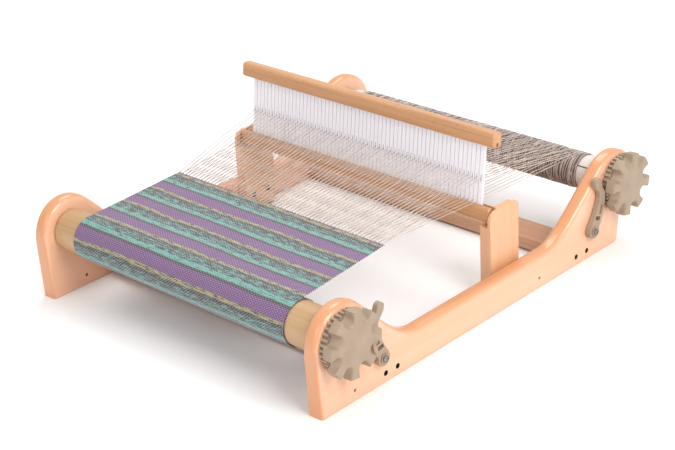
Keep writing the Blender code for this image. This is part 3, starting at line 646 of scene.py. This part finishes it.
def pawl(end, body):
    """A curved plastic lever: round boss, windowed arm, nose and thumb tab."""
    side, lean, aim = pawl_pose(end)
    tip = Vector((math.sin(NOSE_ANGLE), math.cos(NOSE_ANGLE))) * PAWL_REACH
    along = Vector((math.cos(aim), math.sin(aim)))
    across = Vector((-along.y, along.x))
    nose = [tip - along * back + across * off for back, off in
            ((0.0050, -0.0017), (0.0032, -0.0011), (0.0, -0.0004), (0.0, 0.0004),
             (0.0032, 0.0011), (0.0050, 0.0017))]
    inner = [(0.0108, 0.0070), (0.0141, 0.0150), (0.0163, 0.0260), (0.0166, 0.0340),
             (0.0166, 0.0420)]
    outer = [(0.0140, 0.0525), (0.0110, 0.0560), (0.0070, 0.0615), (0.0030, 0.0680)]
    tab = arc((-0.0031, 0.0672), 0.0060, 20, 165, 14)
    back = [(-0.0088, 0.0665), (-0.0072, 0.0618), (-0.0030, 0.0570), (0.0015, 0.0530),
            (0.0042, 0.0470), (0.0040, 0.0400), (0.0020, 0.0310), (-0.0020, 0.0190),
            (-0.0065, 0.0100)]
    boss = arc((0, 0), 0.0102, 160, 385, 32)
    outline = (smooth_path(inner, 6) + [tuple(p) for p in nose] + smooth_path(outer, 6)[:-1]
               + tab + smooth_path(back, 6)[1:] + boss)
    lean_c, lean_s = math.cos(lean), math.sin(lean)

    def placed(u, v):
        y, z = side * (u * lean_c + v * lean_s), v * lean_c - u * lean_s
        return (PIVOT[end][0] + y, PIVOT[end][1] + z)

    span = x_range(f"{end}_pawl")
    obj = plate(f"{end}_pawl_plastic", [placed(u, v) for u, v in outline], span)
    round_rim(obj, 0.0010, 3)
    tilt = -side * (lean + math.radians(8))
    window_at = (sum(span) / 2, *placed(0.0040, 0.0172))
    window = block("window", (0.020, 0.0095, 0.0056), window_at, tilt)
    slot = block("slot", (0.0040, 0.0060, 0.0120), (span[1], *placed(0.0085, 0.0285)), tilt)
    bore = hole("bore", PIVOT[end], 0.0025, (span[0] - CUT, span[1] + CUT))
    shade(bake(obj, [window, slot, bore]))
    return piece(obj, TAUPE, body, "taupe_plastic", f"{end}_pawl")


def screw(node, look, body, outward, head_r, head_h, socket_r, shade_sleeve=0.0):
    """A domed screw with a hexagon socket; the last argument is the depth of a thin sleeve round its
    head, a dark lining of the recess wall: painted shade.
    """
    low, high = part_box(node)
    tip, face = (low.x, high.x) if outward > 0 else (high.x, low.x)
    axis, steps = centre_yz(node), 48
    reach = abs(face - tip)
    shank = head_r * 0.55

    def ring(depth, radius, flats=False):
        points = []
        for i in range(steps):
            angle = 2 * math.pi * i / steps
            r = radius
            if flats:
                r = radius / math.cos((angle + math.pi / 6) % (math.pi / 3) - math.pi / 6)
            points.append((face - outward * depth, axis[0] + r * math.cos(angle),
                           axis[1] + r * math.sin(angle)))
        return points

    rings = [ring(head_h * 0.55, socket_r * 0.9, True), ring(head_h * 0.02, socket_r, True),
             ring(0.0, socket_r * 1.35), ring(head_h * 0.10, head_r * 0.78),
             ring(head_h * 0.30, head_r * 0.94), ring(head_h * 0.55, head_r),
             ring(-shade_sleeve, head_r * 1.02), ring(-shade_sleeve, head_r * 1.08),
             ring(head_h, head_r * 1.08), ring(head_h, shank),
             ring(reach - shank, shank), ring(reach, shank * 0.2)]
    obj = loft(node + "_fine", rings)
    shade(obj, 40)
    return piece(obj, look, body, "zinc_steel", node)


# ---------------------------------------------------------------------- posts
def post(side, node):
    """A heddle post: ledge, back stop and a thin rounded outer cheek."""
    low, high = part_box(node)
    outline = ([(low.y, low.z)] + arc((low.y + 0.013, high.z - 0.013), 0.013, 180, 90, 20)
               + arc((high.y - 0.006, high.z - 0.006), 0.006, 90, 0, 12) + [(high.y, low.z)])
    obj = plate(node + "_wood", outline, (low.x, high.x))
    round_rim(obj, 0.0012, 3)
    near, far = (low.x, high.x) if side > 0 else (high.x, low.x)
    cheek = far - side * 0.0049
    middle, deep = (near - side * 0.010 + cheek) / 2, abs(cheek - near) + 0.010
    stop_y, stop_z, ledge_z = low.y + 0.0241, high.z - 0.0040, high.z - 0.0200
    notch_at = (middle, stop_y - 0.020, ledge_z + 0.020)
    cutters = [block("notch", (deep, 0.040, 0.040), notch_at),
               block("top", (deep, 0.090, 0.020), (middle, stop_y + 0.030, stop_z + 0.010))]
    word = "right" if side > 0 else "left"
    for number in (1, 2):
        at = centre_yz(f"post_screw_{word}_{number}")
        cutters.append(hole("shank", at, 0.0021, sorted((near - side * 0.010, far + side * CUT))))
        cutters.append(hole("head", at, 0.0041, sorted((near - side * 0.010, near + side * 0.0036))))
    shade(bake(obj, cutters))
    return piece(obj, POST_WOOD, "frame", "board_beech", node)


# --------------------------------------------------------------------- heddle
def heddle_point(across, along):
    """The (y, z) of a point in the leaning heddle, from the reed's middle."""
    lean_c, lean_s = math.cos(LEAN), math.sin(LEAN)
    y, z = across * lean_c + along * lean_s, along * lean_c - across * lean_s
    return (HEDDLE[0] + y, HEDDLE[1] + z)


def heddle_rail(node, along, groove_side):
    """A rounded rail with the groove that holds the reed's edge."""
    half_d, half_h, soft = 0.0080, 0.0100, 0.0045
    outline = []
    for sy, sz, start in ((1, 1, 90), (1, -1, 0), (-1, -1, -90), (-1, 1, 180)):
        outline += arc((sy * (half_d - soft), sz * (half_h - soft)), soft, start, start - 90, 8)
    leaning = [heddle_point(u, along + v) for u, v in outline]
    obj = plate(node + "_wood", leaning, x_range(node))
    round_rim(obj, 0.0022, 4)
    at = heddle_point(0, along + groove_side * (half_h - 0.0063 + 0.010))
    groove = block("groove", (0.460, 0.0041, 0.020), (centre(node).x, *at), -LEAN)
    shade(bake(obj, [groove]), 30)
    return piece(obj, HEDDLE_WOOD, "heddle", "heddle_beech", node)


# -------------------------------------------------------------- warp and cloth
def strands(name, paths, radius, sides=6):
    """Many threads in one mesh; each path is a list of (x, y, z) points."""
    points, faces = [], []
    for path in paths:
        start = len(points)
        for i, spot in enumerate(path):
            here = Vector(spot)
            after, before = path[min(i + 1, len(path) - 1)], path[max(i - 1, 0)]
            along = (Vector(after) - Vector(before)).normalized()
            level = Vector((0, 0, 1)) if abs(along.z) < 0.9 else Vector((1, 0, 0))
            side = along.cross(level).normalized()
            top = side.cross(along)
            for k in range(sides):
                a = 2 * math.pi * k / sides
                points.append(here + (side * math.cos(a) + top * math.sin(a)) * radius)
        for i in range(len(path) - 1):
            here, there = start + i * sides, start + (i + 1) * sides
            for k in range(sides):
                j = (k + 1) % sides
                faces.append((here + k, here + j, there + j, there + k))
        faces.append(tuple(start + k for k in range(sides)))
        faces.append(tuple(start + (len(path) - 1) * sides + k for k in range(sides)))
    obj = from_faces(name, points, faces)
    obj.data.shade_smooth()
    return obj


def dent_x(place):
    """The x of a place in the reed, counted in dents from its middle."""
    return sum(REED_X) / 2 + place * DENT_PITCH


UPPER_DENTS = [i - (DENTS - 1) / 2 for i in range(DENTS)]
LOWER_DENTS = [i - (DENTS - 2) / 2 for i in range(DENTS - 1)]


def fell_x(place):
    """Where a thread meets the last pick: the warp draws in from the reed to the cloth."""
    share = (place + DENTS / 2) / DENTS
    return CLOTH_X[0] + (FELL_RIGHT - CLOTH_X[0]) * share


def front_threads(name, node, dents, along, lift):
    """The threads between the last pick and the heddle."""
    low_y = FELL[0] - 0.003
    target = heddle_point(0, along)
    paths = []
    for place in dents:
        x = fell_x(place) + random.uniform(-0.0004, 0.0004)
        start = Vector((x, low_y, FELL[1] + lift * 0.0006))
        end = Vector((dent_x(place), *target))
        paths.append([start.lerp(end, k / 10) for k in range(11)])
    obj = strands(name, paths, THREAD_R)
    piece(obj, PALE_YARN, None, "warp_yarn", node)
    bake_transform(obj)
    return obj


def top_tangent(middle, radius, point):
    """The angle at which the line from point touches the top of a circle."""
    towards = Vector(point) - Vector(middle)
    lift = math.acos(radius / towards.length)
    base = math.atan2(towards.y, towards.x)
    return base + lift if towards.x > 0 else base - lift


def back_threads(name, node, dents, along):
    """The threads between the heddle and the top of the warp roll."""
    source = heddle_point(0, along)
    touch_r = WARP_R + 0.0004
    touch = top_tangent(AXIS["back"], touch_r, source)
    paths = []
    for place in dents:
        drift = random.uniform(-0.004, 0.004)
        spread = (WARP_X[1] - WARP_X[0] - 0.006) / DENTS
        end_x = sum(WARP_X) / 2 + place * spread + drift
        angle = touch + random.uniform(-0.10, 0.16)
        end = Vector((end_x, AXIS["back"][0] + touch_r * math.cos(angle),
                      AXIS["back"][1] + touch_r * math.sin(angle)))
        start = Vector((dent_x(place), *source))
        paths.append([start.lerp(end, k / 10) for k in range(11)])
    obj = strands(name, paths, THREAD_R)
    piece(obj, PALE_YARN, None, "warp_yarn", node)
    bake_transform(obj)
    return obj


def wound_loops(name, count, radius, lean, thread_r, look, x_span, reach=0.0008):
    """Threads wound round the warp roll, each loop leaning a little its own way."""
    paths = []
    middle = AXIS["back"]
    for i in range(count):
        x = x_span[0] + (x_span[1] - x_span[0]) * (i + 0.5) / count + random.uniform(-0.0012, 0.0012)
        slope = random.uniform(-lean, lean)
        phase = random.uniform(0, 2 * math.pi)
        level = radius + random.uniform(0.0, reach)
        path = []
        for k in range(41):
            angle = 2 * math.pi * k / 40
            at = min(max(x + slope * math.sin(angle + phase), x_span[0]), x_span[1])
            path.append((at, middle[0] + level * math.cos(angle),
                         middle[1] + level * math.sin(angle)))
        paths.append(path)
    return piece(strands(name, paths, thread_r, 5), look, "warp_roller", "warp_yarn")


def ridged_roll(name, middle, low_r, high_r, x_span, ridges):
    """A wound bed of yarn: a tube whose outside is ridged thread by thread."""
    profile = [(x_span[0], low_r)]
    for i in range(ridges * 2 + 1):
        radius = high_r - (0.0007 if i % 2 == 0 else 0.0)
        profile.append((x_span[0] + (x_span[1] - x_span[0]) * i / (ridges * 2), radius))
    profile.append((x_span[1], low_r))
    obj = turned(name, middle, profile, 48, closed=True)
    obj.data.shade_smooth()
    return obj


CLOTH_AMPLITUDE = 0.00034
CLOTH_TURNS = 2.1                       # of cloth wound on the front roller
DROP_STARTS, DROP_TURNS = 0.80, 0.15    # where the outer turn drops to the inner one, in turns


def weave(name, path, left, right, starts_at):
    """A sheet of cloth along a (y, z) path, raised at every crossing of warp and weft.

    path gives evenly spaced rows of (point, normal); left and right are the cloth's
    edges at a length; starts_at is the length from the fell of the first row.
    """
    step = PICK_PITCH / 2
    columns = round((CLOTH_X[1] - CLOTH_X[0]) / (END_PITCH / 2))
    points, spots, faces = [], [], []
    for row, (spot, normal) in enumerate(path):
        length = starts_at + row * step
        x0, x1 = left(length), right(length)
        edge = 0.0006 * math.sin(math.pi * row / 2 + 0.8)
        for column in range(columns + 1):
            share = column / columns
            x = x0 - edge + (x1 - x0 + 2 * edge) * share
            lift = CLOTH_AMPLITUDE * math.sin(math.pi * column / 2) * math.sin(math.pi * row / 2)
            lift += 0.00025 * math.sin(x * 61 + length * 45) * math.sin(length * 83)
            points.append((x, spot[0] + normal[0] * lift, spot[1] + normal[1] * lift))
            spots.append((column * END_PITCH / 2, length, 0.0))
    width = columns + 1
    for row in range(len(path) - 1):
        for column in range(columns):
            a = row * width + column
            faces.append((a, a + 1, a + width + 1, a + width))
    mesh = bpy.data.meshes.new(name)
    mesh.from_pydata(points, [], faces)
    layer = mesh.attributes.new("weave", "FLOAT_VECTOR", "POINT")
    layer.data.foreach_set("vector", [value for spot in spots for value in spot])
    mesh.shade_smooth()
    return new_object(name, mesh)


def cloth_pieces():
    """The flat cloth up to the front roller, and the two turns wound on it.

    The outer turn drops to the inner one before it meets the flat cloth again.
    """
    middle = AXIS["front"]
    touch = top_tangent(middle, CLOTH_R, FELL)
    end = Vector((middle[0] + CLOTH_R * math.cos(touch), middle[1] + CLOTH_R * math.sin(touch)))
    start = Vector(FELL)
    run = (end - start).length
    step = PICK_PITCH / 2
    rows = int(run / step)
    normal = Vector((math.cos(touch), math.sin(touch)))
    along = (end - start).normalized()
    flat_path = [(start + along * step * i, normal) for i in range(rows + 1)]

    def left(length):
        return CLOTH_X[0]

    def right(length):
        return FELL_RIGHT + (CLOTH_X[1] - FELL_RIGHT) * min(1.0, length / run)

    flat = weave("cloth_woven_flat", flat_path, left, right, 0.0)
    piece(flat, STRIPED, "frame", "striped_cloth", "cloth_flat")

    begins = rows * step
    turn = 2 * math.pi * CLOTH_TURNS
    inner_r = ROLLER_R["front"] + 0.0007
    count = int(turn * (CLOTH_R + inner_r) / 2 / step)
    wound = []
    for i in range(count + 1):
        share = i / count
        angle = touch + turn * share - (run - begins) / CLOTH_R
        below = min(1.0, max(0.0, (share * turn / (2 * math.pi) - DROP_STARTS) / DROP_TURNS))
        radius = CLOTH_R + (inner_r - CLOTH_R) * below
        out = Vector((math.cos(angle), math.sin(angle)))
        wound.append((Vector(middle) + out * radius, out))
    roll = weave("cloth_woven_roll", wound, left, right, begins)
    piece(roll, STRIPED, "cloth_roller", "striped_cloth", "cloth_roll")


CARD_LENGTHS = ((142.7, 198.3), (199.3, 498.3))   # first and last angle of each, in degrees


def warp_card():
    """The card wound in with the warp: two lengths that leave a slit and a fine joint."""
    span = x_range("warp_card")
    thick = 0.0007
    points, faces = [], []
    for first, last in CARD_LENGTHS:
        base = len(points)
        count = max(6, round((last - first) / 4))
        for i in range(count + 1):
            angle = math.radians(first + (last - first) * i / count)
            for radius in (CARD_R - thick, CARD_R):
                for x in span:
                    points.append((x, AXIS["back"][0] + radius * math.cos(angle),
                                   AXIS["back"][1] + radius * math.sin(angle)))
        for i in range(count):
            a, b = base + i * 4, base + (i + 1) * 4
            faces += [(a, a + 1, b + 1, b), (a + 2, a + 3, b + 3, b + 2), (a, a + 2, b + 2, b),
                      (a + 1, a + 3, b + 3, b + 1)]
        faces.append((base, base + 1, base + 3, base + 2))
        last_ring = base + count * 4
        faces.append((last_ring, last_ring + 1, last_ring + 3, last_ring + 2))
    obj = from_faces("warp_card_paper", points, faces)
    shade(obj, 40)
    return piece(obj, CARD, "warp_roller", "pale_card", "warp_card")


# ------------------------------------------------------------------- assembly
side_panel(1, "side_panel_right")
side_panel(-1, "side_panel_left")
post(1, "heddle_post_right")
post(-1, "heddle_post_left")
ENDS = (("front", "cloth_roller", "front_pawl"), ("back", "warp_roller", "back_pawl"))
for end_name, body_name, pawl_body in ENDS:
    roller(end_name, body_name)
    knob(end_name, body_name)
    pawl(end_name, pawl_body)
    screw(f"{end_name}_pawl_screw", ZINC, "frame", 1, 0.0038, 0.0016, 0.0017)
    screw(f"{end_name}_roller_bolt", ZINC, body_name, -1, 0.0080, 0.0045, 0.0030)
    for word, outward in (("left", -1), ("right", 1)):
        for number in (1, 2):
            # rail screws, dark and sleeved: painted shade in their recesses
            screw(f"{end_name}_rail_screw_{word}_{number}", RECESS_SHADE_STEEL, "frame", outward,
                  0.0031, 0.0030, 0.0013, 0.0026)
for word, outward in (("left", 1), ("right", -1)):
    for number in (1, 2):
        screw(f"post_screw_{word}_{number}", ZINC, "frame", outward, 0.0038, 0.0026, 0.0015)
heddle_rail("heddle_bottom_rail", -RAIL_SPAN / 2, 1)
heddle_rail("heddle_top_rail", RAIL_SPAN / 2, -1)

front_threads("warp_front_upper_threads", "warp_front_upper", UPPER_DENTS, EYE_ALONG, 1)
front_threads("warp_front_lower_threads", "warp_front_lower", LOWER_DENTS, LOW_ALONG, -1)
back_threads("warp_back_upper_threads", "warp_back_upper", UPPER_DENTS, EYE_ALONG)
back_threads("warp_back_lower_threads", "warp_back_lower", LOWER_DENTS, LOW_ALONG)
cloth_pieces()
warp_card()

# the wound beds take the darker yarn: painted shade between and under the loops
inner_bed = ridged_roll("warp_inner_turns", AXIS["back"], ROLLER_R["back"] + 0.0003,
                        CARD_R - 0.0010, WARP_X, 84)
piece(inner_bed, SHADED_YARN, "warp_roller", "warp_yarn", "warp_roll_inner")
outer_bed = ridged_roll("warp_outer_bed", AXIS["back"], CARD_R + 0.0003,
                        CARD_R + 0.0012, WARP_X, 84)
piece(outer_bed, SHADED_YARN, "warp_roller", "warp_yarn", "warp_roll_outer")
wound_loops("warp_turns_close", 130, CARD_R + 0.0013, 0.0030, 0.00065, ROLLED_YARN, WARP_X)
wound_loops("warp_turns_crossing", 64, CARD_R + 0.0019, 0.0110, 0.00055, ROLLED_YARN, WARP_X, 0.0004)

KEPT_LOOKS = {
    "front_cross_rail": BOARD_WOOD, "back_cross_rail": BOARD_WOOD, "front_warp_stick": BOARD_WOOD,
    "back_warp_stick": BOARD_WOOD, "reed": REED_WHITE, "front_ratchet": TAUPE, "back_ratchet": TAUPE,
    "front_pawl_washer": TAUPE, "back_pawl_washer": TAUPE, "front_roller_washer": ZINC,
    "back_roller_washer": ZINC}
for node, look in KEPT_LOOKS.items():
    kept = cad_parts[node]
    for material_slot in kept.material_slots:
        material_slot.material = look


# ----------------------------------------------------------- stage and camera
def studio():
    """A pale floor, soft lights and a white surround."""
    floor = from_faces("floor", [(-12, -12, 0), (12, -12, 0), (12, 12, 0), (-12, 12, 0)], [(0, 1, 2, 3)])
    surface = Surface("floor_paper", 0.9, Specular_IOR_Level=0.1)
    tone = surface.noise(surface.place((3, 3, 3)), detail=1)
    surface.set("Base Color", surface.mix(tone, srgb(250, 249, 248), srgb(248, 246, 245)))
    floor.data.materials.append(surface.material)
    world = bpy.data.worlds.new("studio")
    bpy.context.scene.world = world
    world.use_nodes = True
    background = world.node_tree.nodes["Background"]
    background.inputs["Color"].default_value = (1.0, 1.0, 1.0, 1.0)
    background.inputs["Strength"].default_value = 0.75
    lights = (("key", (1.9, -0.4, 1.7), 1.3, 34), ("top", (-0.6, 0.9, 2.3), 1.6, 26),
              ("front", (0.3, -2.4, 1.5), 1.4, 9))
    for name, place, size, power in lights:
        lamp = bpy.data.lights.new(name, "AREA")
        lamp.shape = "DISK"
        lamp.size = size
        lamp.energy = power
        holder = bpy.data.objects.new(name, lamp)
        bpy.context.scene.collection.objects.link(holder)
        holder.location = place
        aim = Vector((0, 0, 0.1)) - Vector(place)
        holder.rotation_euler = aim.to_track_quat("-Z", "Y").to_euler()
    bpy.context.scene.view_settings.view_transform = "Standard"


CAMERA_PLACE = Vector((1.4011, -1.4709, 1.0255))
CAMERA_YAW = math.radians(43.961)
CAMERA_PITCH = math.radians(25.490)
CAMERA_ROLL = math.radians(-3.055)
CAMERA_LENS = 91.88                     # focal length in millimetres


def camera():
    """The camera: looking down across the loom from the front right."""
    data = bpy.data.cameras.new("camera")
    data.sensor_width = 36.0
    data.lens = CAMERA_LENS
    data.clip_end = 50.0
    holder = bpy.data.objects.new("camera", data)
    bpy.context.scene.collection.objects.link(holder)
    turn = Matrix.Rotation(CAMERA_YAW, 4, "Z") @ Matrix.Rotation(math.pi / 2 - CAMERA_PITCH, 4, "X")
    holder.matrix_world = Matrix.Translation(CAMERA_PLACE) @ turn @ Matrix.Rotation(CAMERA_ROLL, 4, "Z")
    bpy.context.scene.camera = holder


studio()
camera()
